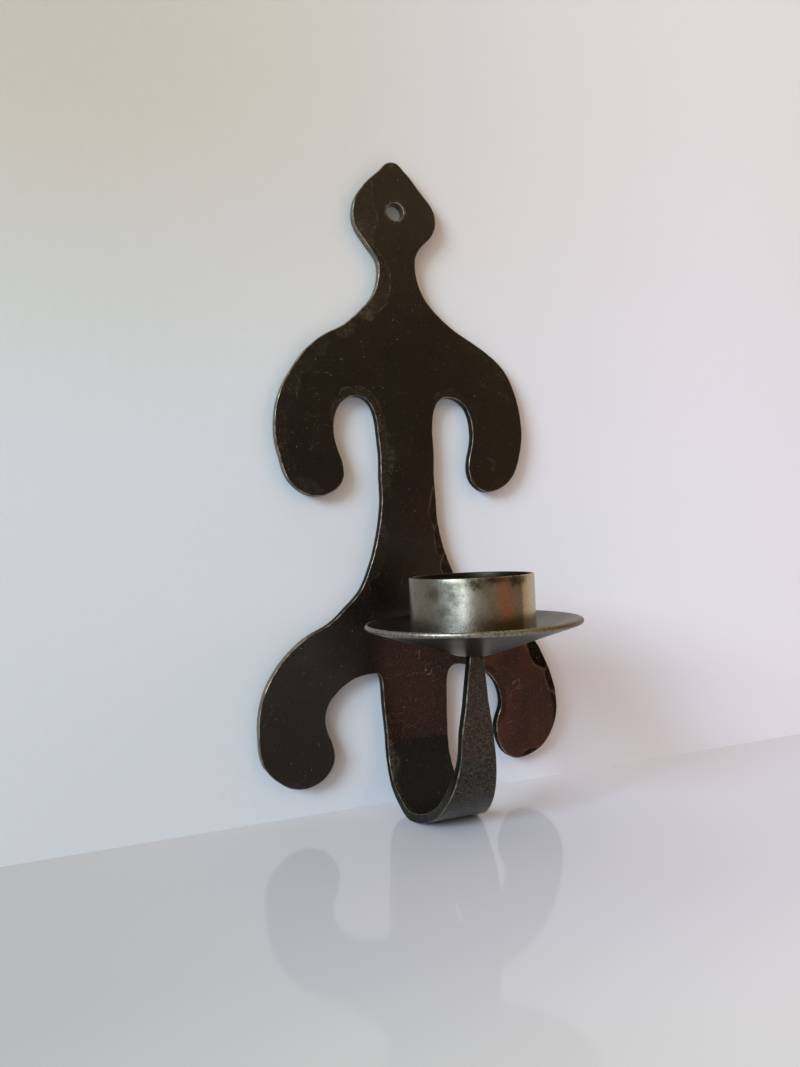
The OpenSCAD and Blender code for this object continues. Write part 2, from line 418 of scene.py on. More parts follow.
# %% [markdown]
# ## The edge of the plate
#
# On the real holder plate and arm are one bar, cut to its outline while flat. The
# outline could be traced point by point, but a smith thinks of a few places: where the
# head is widest, where the neck is narrowest, how low a lobe hangs. So it is drawn as
# smooth curves through such stations. A station is the distance out from the middle
# line, the height, and the heading of the edge in degrees: 0 outwards, -90 down, -180
# inwards and -270 up. The two sides differ a little, so each has its own stations. The
# straight tail below the last one is the arm, still flat.

# %% Stations from the tip down, each for the left and for the right edge
STATIONS = {
    "tip": ((0, 19.5, 0), (0, 19.5, 0)),
    "flank_top": ((4.75, 17, -50), (5, 15.75, -45)),
    "flank_end": ((13.5, 8.75, -51), (11.75, 7.75, -46)),
    "head_widest": ((17.5, -2, -90), (17, -2, -90)),
    "head_underside": ((12.75, -12.75, -124), (13, -10.5, -137)),
    "neck": ((8, -22, -90), (7.5, -20.25, -90)),
    "shoulder": ((28.75, -48.25, -29), (25.75, -47, -31)),
    "upper_lobe_top": ((44.75, -63, -56), (47.5, -65.75, -66)),
    "upper_lobe_widest": ((52, -88, -90), (52.25, -87.5, -90)),
    "upper_toe": ((35.5, -111, -180), (35.75, -111, -180)),
    "upper_lip": ((25.75, -102.25, -270), (27, -101.5, -270)),
    "upper_slot_widest": ((29.25, -86.25, -270), (29.75, -86.5, -270)),
    "upper_crown": ((19.5, -72.75, -180), (19.25, -72.5, -180)),
    "stem_top": ((11, -89.5, -90), (12, -88.5, -90)),
    "stem_end": ((10.75, -101.5, -90), (11.75, -107.5, -90)),
    "hip": ((39, -161.75, -23), (38, -161.25, -22)),
    "lower_lobe_widest": ((63, -200.75, -90), (63, -200.75, -90)),
    "lower_toe": ((47.5, -220.25, -180), (44.5, -220.5, -180)),
    "lower_lip": ((34.25, -209, -270), (34.5, -207.25, -270)),
    "lower_slot_widest": ((37.5, -195.75, -270), (37.5, -196.25, -270)),
    "lower_crown": ((16.5, -179.5, -180), (17.75, -179.5, -180)),
    "tail": ((13.75, -187, -90), (13, -188.75, -90)),
    "arm_start": ((13, -207, -90), (13, -207, -90)),
}
LEFT_EDGE, RIGHT_EDGE = zip(*STATIONS.values())
print("the plate is", STATIONS["lower_lobe_widest"][0][0] * 2, "mm wide over the lower lobes")

# %% Curves through the stations
HANDLE = 0.38
EDGE_STEP = 0.8
CURVE_OVER_CHORD = 1.1


def between(start, end):
    """Points on the smooth curve from one station to the next, without the last one."""
    p0 = Vector(start[:2])
    p3 = Vector(end[:2])
    chord = (p3 - p0).length
    pull = chord * HANDLE
    leave = math.radians(start[2])
    arrive = math.radians(end[2])
    p1 = p0 + Vector((math.cos(leave), math.sin(leave))) * pull
    p2 = p3 - Vector((math.cos(arrive), math.sin(arrive))) * pull
    count = max(3, round(chord * CURVE_OVER_CHORD / EDGE_STEP))
    points = []
    for step in range(count):
        t = step / count
        u = 1 - t
        points.append(p0 * u**3 + p1 * 3 * t * u * u + p2 * 3 * t * t * u + p3 * t**3)
    return points


def plate_edge(stations):
    return [point for pair in zip(stations, stations[1:]) for point in between(*pair)]


print("edge points, left and right:", len(plate_edge(LEFT_EDGE)), len(plate_edge(RIGHT_EDGE)))

# %% [markdown]
# ## The path of the bend
#
# The arm runs down the wall, round the bend and up the front. Its outer and inner faces
# are quarter ellipses, as in the CAD model, and then two straight lines. Each row below
# holds where the outer and the inner face are, half the bar's width there, and how far
# along the bar it lies. The rows first give the blank its width, and later they bend it.

# %% Rows along the arm, from the end of the plate to the pan
PLATE_T = 4.0
ARM_T = 3.6
ARM_START = -207.0
BEND_MIDDLE = -23.5
BACK_HEIGHT = 24.5
LIMB_FOOT = -198.5
FRONT_HEIGHT = 33.0
LIMB_OUTER = -56.3
LIMB_LEAN = 2.0
PAN_BOTTOM = -167.8
HALF_BEND_W = 13.0
HALF_FOOT_W = 6.2
HALF_TOP_W = 2.4
BACK_STEPS = 32
FRONT_STEPS = 40
LIMB_STEPS = 24


def bend_point(start_angle, share, radius_y, radius_z, middle_z):
    """A point on a quarter ellipse round the middle of the bend, as (y, z)."""
    a = math.radians(start_angle + 90 * share)
    return Vector((BEND_MIDDLE + radius_y * math.cos(a), middle_z - radius_z * math.sin(a)))


def arm_rows():
    rows = []
    for step in range(BACK_STEPS + 1):
        share = step / BACK_STEPS
        outer = bend_point(0, share, -BEND_MIDDLE, BACK_HEIGHT, ARM_START)
        inner = bend_point(0, share, -BEND_MIDDLE - PLATE_T, BACK_HEIGHT - ARM_T, ARM_START)
        rows.append([outer, inner, HALF_BEND_W])
    front_radius = BEND_MIDDLE - LIMB_OUTER
    for step in range(1, FRONT_STEPS + 1):
        share = step / FRONT_STEPS
        outer = bend_point(90, share, front_radius, FRONT_HEIGHT, LIMB_FOOT)
        inner = bend_point(90, share, front_radius - ARM_T, FRONT_HEIGHT - ARM_T, LIMB_FOOT)
        rows.append([outer, inner, HALF_BEND_W + (HALF_FOOT_W - HALF_BEND_W) * share])
    for step in range(1, LIMB_STEPS + 1):
        share = step / LIMB_STEPS
        outer = Vector((LIMB_OUTER - LIMB_LEAN * share, LIMB_FOOT + (PAN_BOTTOM - LIMB_FOOT) * share))
        inner = outer + Vector((ARM_T, 0))
        rows.append([outer, inner, HALF_FOOT_W + (HALF_TOP_W - HALF_FOOT_W) * share])
    along = 0.0
    last = rows[0]
    for row in rows:
        along += ((row[0] + row[1]) / 2 - (last[0] + last[1]) / 2).length
        row.append(along)
        last = row
    return rows


ARM = arm_rows()
ARM_LENGTH = ARM[-1][3]
print("the arm's flat length:", round(ARM_LENGTH, 1), "mm")

# %% [markdown]
# ## The hammered edge
#
# A smith dresses the edge of the plate with rows of blows. They leave it as nearly
# straight facets rather than one clean curve. The points of the edge are moved a little
# in or out, by an amount that goes straight from one facet's corner to the next.

# %% Facets along the edge
FACET = 9.0
UNEVEN = 0.75
CALM_TIP = 5.0
CALM_END = 8.0


def corner_offset(corner, side):
    """How far a facet's corner lies out or in, from -1 to 1."""
    return noise.noise(Vector((corner * 1.7, side * 3.3, 0.5)))


def hammered(points, side):
    """The edge as blows leave it, in facets about 9 mm long, smooth again at both ends."""
    total = sum((b - a).length for a, b in zip(points, points[1:]))
    along = 0.0
    done = []
    for number, point in enumerate(points):
        before = points[max(0, number - 1)]
        after = points[min(len(points) - 1, number + 1)]
        along += (point - before).length
        facet = int(along / FACET)
        share = along / FACET - facet
        first = corner_offset(facet, side)
        second = corner_offset(facet + 1, side)
        fade = max(0, min(1, along / CALM_TIP, (total - along) / CALM_END))
        out = UNEVEN * (first + (second - first) * share) * fade
        ahead = (after - before).normalized()
        done.append(point + Vector((-ahead.y, ahead.x)) * out)
    return done


facet_test = [round(UNEVEN * corner_offset(corner, 1), 2) for corner in range(4)]
print("the first corners at the right lie out by mm:", facet_test)

# %% [markdown]
# ## Cutting the blank
#
# A half of the blank is one flat face: down its edge, back up the middle line and round
# half of the hanging hole. Both halves are pushed out to the bar's thickness, and their
# rims are bevelled, since forged edges are never sharp.

# %% Make the blank
HOLE_R = 3.5
HOLE_STEPS = 24
RIM_BEVEL = 0.32


def half_outline(stations, side):
    """Corner points of one half of the blank, in mm. Side is -1 for left and 1 for right."""
    edge = plate_edge(stations) + [Vector((row[2], ARM_START - row[3])) for row in ARM]
    outline = [(side * p.x, p.y) for p in hammered(edge, side)]
    outline.append((0, ARM_START - ARM_LENGTH))
    for step in range(HOLE_STEPS + 1):
        a = math.radians(-90 + 180 * step / HOLE_STEPS)
        out = HOLE_R * math.cos(a) if 0 < step < HOLE_STEPS else 0
        outline.append((side * out, HOLE_R * math.sin(a)))
    return outline


def is_rim(edge):
    """True for an edge between a flat face and the bar's side."""
    faces = edge.link_faces
    return len(faces) == 2 and sorted(round(abs(face.normal.y)) for face in faces) == [0, 1]


bracket = bmesh.new()
for stations, side in ((LEFT_EDGE, -1), (RIGHT_EDGE, 1)):
    corners = [bracket.verts.new((x, 0, z)) for x, z in half_outline(stations, side)]
    bracket.faces.new(corners)
bmesh.ops.remove_doubles(bracket, verts=bracket.verts, dist=1e-4)
pushed = bmesh.ops.extrude_face_region(bracket, geom=list(bracket.faces))
front_corners = [part for part in pushed["geom"] if isinstance(part, bmesh.types.BMVert)]
bmesh.ops.translate(bracket, vec=(0, -PLATE_T, 0), verts=front_corners)
bmesh.ops.recalc_face_normals(bracket, faces=bracket.faces)
bracket.normal_update()
rims = [edge for edge in bracket.edges if is_rim(edge)]
bmesh.ops.bevel(bracket, geom=rims, offset=RIM_BEVEL, offset_type="OFFSET", segments=2,
                profile=0.5, affect="EDGES", clamp_overlap=False, material=-1)
bracket.normal_update()
print("blank:", len(bracket.faces), "faces,", len(rims), "rim edges")

# %% [markdown]
# The flat faces are still one big face each, which can't take a dent. A subdivision
# would follow the outline badly, so they are sliced by planes into a grid instead. The
# front gets a fine one for the hammer marks, and the back needs only a coarse one.

# %% Slice the blank
FINE_GRID = 0.5
COARSE_GRID = 2.4
OFF_STATIONS = 0.37
BLANK_X = (-64, 64)
BLANK_Z = (-325, 20)
FLAT = 0.99


def pieces_of(faces):
    """The faces with their edges and corners for the slicing tool, always in the same order."""
    edges = dict.fromkeys(edge for face in faces for edge in face.edges)
    corners = dict.fromkeys(corner for face in faces for corner in face.verts)
    return [*faces, *edges, *corners]


def slice_faces(bm, faces, axis, cuts):
    """Cuts the faces by planes across an axis, first in the middle and then each side."""
    if not cuts or not faces:
        return list(faces)
    middle = cuts[len(cuts) // 2]
    point = Vector((0, 0, 0))
    point[axis] = middle
    normal = Vector((0, 0, 0))
    normal[axis] = 1
    cut = bmesh.ops.bisect_plane(bm, geom=pieces_of(faces), dist=1e-6,
                                 plane_co=point, plane_no=normal)
    parts = [part for part in cut["geom"] if isinstance(part, bmesh.types.BMFace)]
    below = [face for face in parts if face.calc_center_median()[axis] < middle]
    above = [face for face in parts if face.calc_center_median()[axis] >= middle]
    done = slice_faces(bm, below, axis, [cut for cut in cuts if cut < middle])
    return done + slice_faces(bm, above, axis, [cut for cut in cuts if cut > middle])


def grid_cuts(low, high, spacing):
    """Places of the cuts, set off a little so that none meets a station or the middle."""
    count = int((high - low) / spacing)
    return [low + spacing * (step + OFF_STATIONS) for step in range(count)]


front = [face for face in bracket.faces if face.normal.y < -FLAT]
back = [face for face in bracket.faces if face.normal.y > FLAT]
for group, spacing in ((front, FINE_GRID), (back, COARSE_GRID)):
    rows_of_faces = slice_faces(bracket, group, 2, grid_cuts(*BLANK_Z, spacing))
    slice_faces(bracket, rows_of_faces, 0, grid_cuts(*BLANK_X, spacing))
bracket.normal_update()
print("sliced:", len(bracket.faces), "faces")

# %% [markdown]
# ## Hammer marks
#
# The smith worked the edges with a round-faced hammer. Each blow left a shallow scoop
# whose inner border is a clear arc. A bump map could fake them, but the marks also break
# the outline of the front, so they are pressed into the mesh. A mark is given by where
# it sits on the edge, its length along the edge, its width into the plate and how
# steeply it falls away. Its crest line is painted bright, partly as rubbed steel and
# partly as a painted highlight. Its floor has a tone of painted shading: above 0 it is
# greyer than the plate, a painted highlight of the facet, and below 0 blacker, a painted shade.

# %% Marks: out to the right, height, length, width, slope, crest line, tone of the painted shading
HAMMER_MARKS = (
    # Left of the head, neck and shoulder
    (-17, -1, 42, 9, 0.05, 0.62, 0.15),
    (-14, -10, 13, 6.5, 0.03, 0.2, 0.5),
    (-8, -20, 14, 3.5, 0.05, 0.3, 0.7),
    (-10, -32, 24, 6, 0.05, 0.6, 0.2),
    (-14, -39, 10, 5, 0.05, 0.5, 0.7),
    # Upper left lobe
    (-23, -46, 10, 5, 0.05, 0.4, 0.5),
    (-33, -53, 12, 5.5, 0.06, 0.3, 0.2),
    (-41, -59, 14, 6, 0.05, 0.5, 0.1),
    (-46, -68, 12, 7, 0.05, 0.4, 0.3),
    (-50, -77, 12, 7, 0.06, 0.3, 0.1),
    (-51.5, -87, 14, 5.5, 0.05, 0.4, 0.2),
    (-51, -98, 12, 5, 0.05, 0.4, 0.1),
    (-42, -109.5, 14, 6, 0.05, 0.3, 0.2),
    # Crowns of the upper slots
    (-18, -72.5, 16, 3.5, 0.05, 0.6, 0.4),
    (20, -72, 12, 3, 0.05, 0.5, 0.2),
    (28, -78, 14, 4.5, 0.05, 0.4, 0.1),
    # Left and right of the stem
    (-11, -88, 13, 4.5, 0.06, 0.45, 0.55),
    (-11, -97, 14, 6.5, 0.06, 0.5, 0.5),
    (-11, -106, 10, 4.5, 0.06, 0.5, 0.45),
    (-13, -126, 13, 4, 0.05, 0.4, 0.4),
    (-16, -137, 14, 4.5, 0.06, 0.5, 0.1),
    (-21, -147, 8, 3.5, 0.06, 0.5, 0.1),
    (12, -118, 20, 3, 0.12, 0.7, -0.3),
    (13.5, -130, 16, 3.2, 0.12, 0.7, -0.4),
    (17, -141, 14, 4.2, 0.1, 0.8, -0.5),
    # Right of the head, and the upper right lobe
    (16, 3, 16, 4, 0.04, 0.3, 0.0),
    (30, -50, 16, 4, 0.04, 0.3, 0.1),
    (44, -60, 14, 4.5, 0.04, 0.3, 0.1),
    (51, -80, 16, 4, 0.04, 0.3, 0.0),
    (42, -109, 14, 4, 0.04, 0.4, 0.0),
    # Lower right lobe, facets painted black, a painted shade
    (57.5, -177, 21, 5.6, 0.14, 1.0, -1.0),
    (62.7, -200, 34, 2.4, 0.10, 0.3, -0.8),
    (62.2, -190.5, 13, 3.6, 0.12, 0.9, -0.9),
    (50, -219.5, 12, 3, 0.14, 0.7, -0.8),
    (35, -184, 15, 3.2, 0.08, 0.3, -0.5),
    (37.5, -197, 17, 3.2, 0.08, 0.3, -0.5),
    # Lower left lobe
    (-46, -168, 18, 5, 0.04, 0.4, 0.1),
    (-61, -188, 18, 4, 0.04, 0.5, 0.1),
    (-52, -218.5, 16, 3, 0.1, 0.5, 0.2),
    # Tail and bend
    (-13, -202, 10, 3, 0.07, 0.5, 0.3),
    (-13, -214, 19, 4.5, 0.07, 0.1, 0.9),
)
print(len(HAMMER_MARKS), "hammer marks")

# %% Where the edge is, and which way leads into the plate
def edge_with_normals():
    """Points round the whole blank with the direction into the plate at each, in mm."""
    rim = [(p.x, p.y) for p in plate_edge(RIGHT_EDGE)]
    rim += [(row[2], ARM_START - row[3]) for row in ARM]
    other = [(-p.x, p.y) for p in plate_edge(LEFT_EDGE)]
    other += [(-row[2], ARM_START - row[3]) for row in ARM]
    rim = np.array(rim + other[::-1])
    ahead = np.roll(rim, -1, axis=0) - np.roll(rim, 1, axis=0)
    inward = np.stack([ahead[:, 1], -ahead[:, 0]], axis=1)
    inward /= np.linalg.norm(inward, axis=1)[:, None] + 1e-9
    return rim, inward


RIM, INWARD = edge_with_normals()
print("points round the blank:", len(RIM))

# %% [markdown]
# A scoop is the part of the plate that lies inside a large circle. The circle's centre
# is out beyond the edge, and its radius follows from the mark's length and width. Real
# arcs are never so clean, so the places are moved about by a coarse and a fine noise
# before they are measured against the circle. Noise vectors start from a random seed, so
# it is set first, and the marks come out the same every time.

# %% Depth, wear and tone of the marks
CREST_WIDTH = 0.55
RUBBED_FLOOR = 0.3
TONE_STARTS = 0.8
WARP_SEED = 1
noise.seed_set(WARP_SEED)


def warped(places, size, amount):
    """The places moved about a little, so that arcs drawn on them come out uneven."""
    moved = [noise.noise_vector(Vector((x / size, z / size, 1.7))) for x, z in places]
    return places + np.array([(m.x, m.y) for m in moved]) * amount


def press(places):
    """Depth of the marks at each place (x, z), the wear and painted highlight of their crests, and the tone
    of their painted shading.
    """
    depth = np.zeros(len(places))
    wear = np.zeros(len(places))
    tone = np.zeros(len(places))
    places = warped(warped(places, 5, 1.2), 2.2, 0.35)
    for x, z, length, width, slope, line, shade in HAMMER_MARKS:
        nearest = np.argmin(np.hypot(RIM[:, 0] - x, RIM[:, 1] - z))
        radius = (length**2 / 4 + width**2) / (2 * width)
        centre = RIM[nearest] + INWARD[nearest] * (width - radius)
        inside = radius - np.hypot(places[:, 0] - centre[0], places[:, 1] - centre[1])
        off_mark = np.hypot(places[:, 0] - RIM[nearest][0], places[:, 1] - RIM[nearest][1])
        near = off_mark < length
        depth = np.maximum(depth, np.where(near, slope * np.clip(inside, 0, None), 0))
        crest = line * np.exp(-((inside / CREST_WIDTH) ** 2)) * near
        wear = np.where(near & (inside > 0.3), np.minimum(wear, RUBBED_FLOOR), wear)
        wear = np.maximum(wear, crest)
        shown = shade * np.clip(inside / TONE_STARTS, 0, 1)
        tone = np.where(near & (inside > 0), shown, tone)
    return depth, wear, tone


print("deepest mark:", round(max(press(RIM)[0]), 2), "mm")

# %% [markdown]
# Besides the marks the whole bar is a little wavy, because no blow falls quite flat.
# Each point is pressed by its share between back and front, so a mark fades out through
# the thickness. The hole was punched from the front and is a little narrower behind. The
# values that the finish needs later are kept on the mesh as attributes: whether a face
# is the front, a bevel or a side, the wear and painted highlight of the crests, and the
# tone of the painted shading in the marks.

# %% Press the marks and the waves into the blank
FRONT_SWELL = 0.22
FRONT_RIPPLE = 0.07
BACK_SWELL = 0.25
SWELL_SIZE = 16
RIPPLE_SIZE = 6
HOLE_TAPER = 0.9


def forge(bm):
    """Moves the blank's points to the forged surface and keeps the finish's values on it."""
    edge_value = bm.faces.layers.float.new("edge_face")
    for face in bm.faces:
        flat = abs(face.normal.y)
        face[edge_value] = 0.0 if flat > 0.95 else 1.0 if flat < 0.3 else 0.5
        face.smooth = True
    wear_value = bm.verts.layers.float.new("wear")
    tone_value = bm.verts.layers.float.new("tone")
    bm.verts.ensure_lookup_table()
    depth, wear, tone = press(np.array([(v.co.x, v.co.z) for v in bm.verts]))
    for v, pressed, crest_value, shade in zip(bm.verts, depth, wear, tone):
        x, y, z = v.co
        if math.hypot(x, z) < HOLE_R + 0.5 and y > -1:
            v.co.x *= HOLE_TAPER
            v.co.z *= HOLE_TAPER
        toward_front = -y / PLATE_T
        swell = 0.5 + 0.5 * noise.noise(Vector((x / SWELL_SIZE, z / SWELL_SIZE, 3.1)))
        ripple = 0.5 + 0.5 * noise.noise(Vector((x / RIPPLE_SIZE, z / RIPPLE_SIZE, 8.4)))
        push = FRONT_SWELL * swell + FRONT_RIPPLE * ripple
        v.co.y += toward_front * (pressed + push) - (1 - toward_front) * BACK_SWELL * swell
        v[wear_value] = float(crest_value)
        v[tone_value] = float(shade)


forge(bracket)
print("front now from", round(min(v.co.y for v in bracket.verts), 2), "mm")

# %% [markdown]
# ## Bending the arm
#
# Below the plate every point of the blank is carried along the rows: its distance down
# the tail picks a row, and its depth in the bar picks a place between the outer and the
# inner face. This is what happens to the hot bar on the horn of the anvil. A curve
# modifier could bend it too, but it wouldn't thin the bar from 4 to 3.6 mm on the way.

# %% Bend
ARM_SIDE = 15


def bend(bm):
    """Bends the tail. The toes of the lower lobes hang as low, but further out than ARM_SIDE."""
    along = np.array([row[3] for row in ARM])
    outer = np.array([row[0] for row in ARM])
    inner = np.array([row[1] for row in ARM])
    moved = 0
    for v in bm.verts:
        distance = ARM_START - v.co.z
        if distance <= 0 or abs(v.co.x) > ARM_SIDE:
            continue
        share = -v.co.y / PLATE_T
        out_y, out_z = (np.interp(distance, along, outer[:, axis]) for axis in (0, 1))
        in_y, in_z = (np.interp(distance, along, inner[:, axis]) for axis in (0, 1))
        v.co.y = out_y + (in_y - out_y) * share
        v.co.z = out_z + (in_z - out_z) * share
        moved += 1
    return moved


print("bent", bend(bracket), "points")

# %% [markdown]
# ## The riveted end
#
# The arm ends in a thin round tenon that passes through the pan, the collar and the floor
# of the cup. There the smith spread it with a few blows into the countersunk hole. It is
# a section of the rivet turned once round the cup's axis. Only someone who looks into
# the cup sees it.

# %% Tenon with its spread end: distance from the axis, height
CUP_AXIS_Y = -56.5
TENON = {"foot_middle": (0.0, -169), "foot": (1.5, -169), "below_floor": (1.5, -161.6),
         "spread": (2.75, -160.42), "crown": (1.6, -160.2), "top": (0.0, -160.12)}


def add_tenon(bm):
    bar = set(bm.faces)
    line = [bm.verts.new((r, CUP_AXIS_Y, z)) for r, z in TENON.values()]
    edges = [bm.edges.new(pair) for pair in zip(line, line[1:])]
    bmesh.ops.spin(bm, geom=line + edges, cent=(0, CUP_AXIS_Y, 0), axis=(0, 0, 1),
                   angle=math.tau, steps=32, use_merge=True, use_duplicate=False)
    near_axis = [v for v in bm.verts if math.hypot(v.co.x, v.co.y - CUP_AXIS_Y) < 3 and v.co.z > -170]
    bmesh.ops.remove_doubles(bm, verts=near_axis, dist=1e-4)
    tenon = [face for face in bm.faces if face not in bar]
    bmesh.ops.recalc_face_normals(bm, faces=tenon)
    for face in tenon:
        face.smooth = True
    return tenon


print("tenon:", len(add_tenon(bracket)), "faces")

# %% [markdown]
# ## The skin of the forged steel
#
# The bracket is steel left black from the forge, then waxed: nearly black brown with a
# soft satin gloss. A dark paint would be one colour, but a forge skin isn't. It is
# olive brown high up. Low at the right behind the pan it is painted reddish, a painted
# warm reflection of the room. Each tone is laid over the one before it, in a zone that is given in mm.

# %% Ground colour of the plate
black = Finish("blackened_steel")
x_place = black.axis("X")
z_place = black.axis("Z")
cloud = black.noise(0.022, detail=3)
black.skin = black.mix(black.ramp(cloud, 0.35, 0.65), (13, 11, 9), (18, 15, 12))
high_up = black.zone("Z", -60, 0)
black.lay(high_up, (26, 22, 16), 0.7)
far_right = black.both(black.zone("X", 20, 40), black.zone("Z", -130, -100))
black.lay(far_right, (24, 21, 15), 0.6)
black.report("its ground colour")

# %% Painted reddish reflection low at the right and on the stem
red_cloud = black.ramp(cloud, 0.3, 0.7)
off_tail = black.zone("X", 20, 24)
above_bend = black.zone("Z", -209.5, -206.5)
on_plate = black.zone("Y", -12, -6)
# Painted reflection: a reddish tint on the tail and the lower right lobe, for a warm reflection of the
# room.
red_reflection_zone = black.both(black.zone("X", -26, -2), black.zone("Z", -158, -172),
                     black.most(above_bend, off_tail), on_plate)
tail_red_reflection = black.mix(red_cloud, (27, 13, 8), (42, 20, 13))
lobe_red_reflection = black.mix(red_cloud, (46, 23, 16), (74, 38, 27))
black.lay(red_reflection_zone, black.blend(off_tail, tail_red_reflection, lobe_red_reflection))
# Painted reflection: a reddish tint low on the stem, for the same warm reflection of the room.
stem_red_reflection = black.both(black.zone("X", -4, 6), black.zone("Z", -95, -125), black.zone("Z", -160, -150))
black.lay(stem_red_reflection, (25, 12, 8), 0.7)
black.report("the oxide")

# %% [markdown]
# Inside the bend the skin is painted a dull dark olive behind a ragged border, and its
# reflection is almost taken away: a painted shade of the hollow of the bend. The limb is
# the part of the arm that rises to the pan: it is browner and sandier at the top and grey
# at the bend.

# %% Painted shade inside the bend, and the limb
ragged = black.both(black.uneven(0.008, 4), 0.006)
on_bar = black.ramp(black.math("ABSOLUTE", x_place), 0.016, 0.015)
bend_border = black.ramp(black.math("ADD", z_place, ragged), -0.2052, -0.2080)
# Painted shade: the hollow of the bend gets a dull dark olive and, further on, almost no gloss.
bend_hollow_shade = black.both(black.zone("Y", -40, -34), bend_border, on_bar)
black.lay(bend_hollow_shade, (28, 27, 24))
limb = black.zone("Y", -34, -44)
limb_low = black.zone("Z", -198, -212)
limb_colour = black.mix(limb_low, (34, 24, 18), (34, 34, 30))
black.lay(limb, limb_colour)
black.report("bend and limb")

# %% Painted light and shade on the floors of the hammer marks
# Painted light and shade: mark floors greyer where a facet would catch the light, blacker where it would be
# in shade.
tone = black.attribute("tone")
mottle = black.noise(0.0016, detail=5, roughness=0.75)
facet_painted_light = black.both(tone, black.ramp(mottle, 0.46, 0.60, 0.1, 0.42))
black.lay(facet_painted_light, (90, 80, 66))
black.lay(tone, (13, 10, 7), -1.0)
black.report("the marks")

# %% [markdown]
# ## Grain, pits, scratches and specks
#
# Close up, the skin has a crumbly brown grain, strong on the limb and faint on the
# plate, with small black pits between. Waxed steel also gathers hairline scratches, in
# patches, and a few pale specks of dust. They are kept faint: in the light of a room
# they only show as a little life in the dark.

# %% Grain and pits
bend_rub = black.both(black.zone("X", -10.5, -12.5), black.zone("X", -20, -16), black.zone("Z", -196, -206))
red_reflection_and_rub = black.most(black.both(red_reflection_zone, 0.32), black.both(bend_rub, 0.9))
grain_share = black.most(black.ramp(limb, 0, 1, 0.08, 0.6), red_reflection_and_rub)
crumb = black.noise(0.0008, detail=4, roughness=0.7)
crumbly = black.less(black.ramp(crumb, 0.50, 0.68), limb, 0.35)
sand = black.ramp(black.noise(0.0005, detail=3, shift=(1, 6, 2)), 0.46, 0.64)
grain = black.most(crumbly, black.both(limb, sand))
limb_grain = black.mix(limb_low, (86, 68, 55), (86, 80, 70))
grain_colour = black.blend(limb, colour(92, 72, 56), limb_grain)
black.lay(black.both(grain, grain_share), grain_colour)
pits = black.ramp(black.noise(0.0012, detail=4, shift=(5, 2, 9)), 0.50, 0.38)
pit_share = black.ramp(limb, 0, 1, 0.12, 0.7)
black.lay(black.both(pits, pit_share), (12, 10, 8))
black.report("grain and pits")

# %% Hairline scratches
hair = black.most(black.hairlines(0.011, 0.0035), black.hairlines(0.009, 0.0035, shift=(7, 4, 1)))
hair_patches = black.ramp(black.noise(0.0050, detail=2, shift=(3, 1, 7)), 0.54, 0.62)
hair_patches = black.most(hair_patches, black.spot((-3, -4, -201), 9), black.spot((42, -4, -190), 9))
hair_share = black.ramp(black.noise(0.025, detail=2, shift=(2, 8, 5)), 0.45, 0.62, 0.10, 0.32)
above_the_bend = black.both(black.spot((-2, -4, -198), 14), 0.9)
hair_share = black.most(hair_share, black.both(red_reflection_zone, 0.6), above_the_bend)
hair_share = black.less(hair_share, limb, 0)
black.lay(black.both(hair, hair_patches, hair_share), (120, 106, 88))
black.report("scratches")

# %% Specks
specks = black.most(black.specks(0.0110, 0.00026), black.specks(0.0065, 0.00016))
speck_share = black.ramp(black.noise(0.018, detail=2, shift=(4, 4, 1)), 0.42, 0.62, 0.08, 0.38)
black.lay(black.both(specks, speck_share), (140, 134, 122))
black.report("specks")

# %% Rubbed crests with a painted highlight, and the worn ring round the hole
# The crests are painted bright: partly rubbed steel, partly a painted highlight of the ridges.
wear = black.math("ADD", black.attribute("wear"), black.both(black.uneven(0.0025, 4), 1.1))
black.lay(black.ramp(wear, 0.30, 1.0, 0, 0.42), (96, 86, 70))
squares = black.math("ADD", black.both(x_place, x_place), black.both(z_place, z_place))
from_hole = black.math("SQRT", squares)
hole_ring = black.both(black.ramp(from_hole, 0.0050, 0.0040), black.ramp(mottle, 0.44, 0.56))
black.lay(hole_ring, (96, 82, 66), 0.5)
black.report("wear")

# %% [markdown]
# ## Sides and arrises
#
# The outer sides of head and lobes are painted grey, painted light as the window shows
# them. Those in the slots and along the stem are painted nearly black, a painted shade.
# Between a side and the front runs the arris, the bevel, which is touched most: it is
# painted bright, partly as rubbed steel and partly as a painted highlight. All three are
# told apart by the face value that was stored while forging.

# %% Sides and arrises
edge_face = black.attribute("edge_face")
side_share = black.ramp(edge_face, 0.6, 1.0)
arris_share = black.both(black.ramp(edge_face, 0.2, 0.5), black.ramp(edge_face, 0.6, 0.9, 1, 0))
near_hole = black.spot((0, 0, 0), 7.0)
in_hole = black.ramp(near_hole, 0.0, 0.1)
far_out = black.ramp(black.math("ABSOLUTE", x_place), 0.038, 0.044)
# Painted light and shade: outer sides of head and lobes painted grey, sides in the slots and along the stem
# nearly black.
sides_painted_lit = black.both(black.most(black.zone("Z", -55, -40), far_out), black.zone("Y", -10, -5))
sides_painted_lit = black.both(sides_painted_lit, black.ramp(near_hole, 0.0, 0.1, 1, 0))
shaded_side_colour = black.mix(grain, (8, 8, 7), (26, 25, 21))
lit_side_colour = black.mix(grain, (84, 77, 67), (128, 119, 104))
side_colour = black.blend(sides_painted_lit, shaded_side_colour, lit_side_colour)
bend_rim = black.both(black.zone("Z", -208, -222), black.zone("Y", -4, -10))
bend_side = black.mix(grain, (30, 31, 27), (54, 54, 48))
side_colour = black.blend(bend_rim, side_colour, bend_side)
side_colour = black.blend(in_hole, side_colour, colour(56, 43, 32))
black.lay(side_share, side_colour)
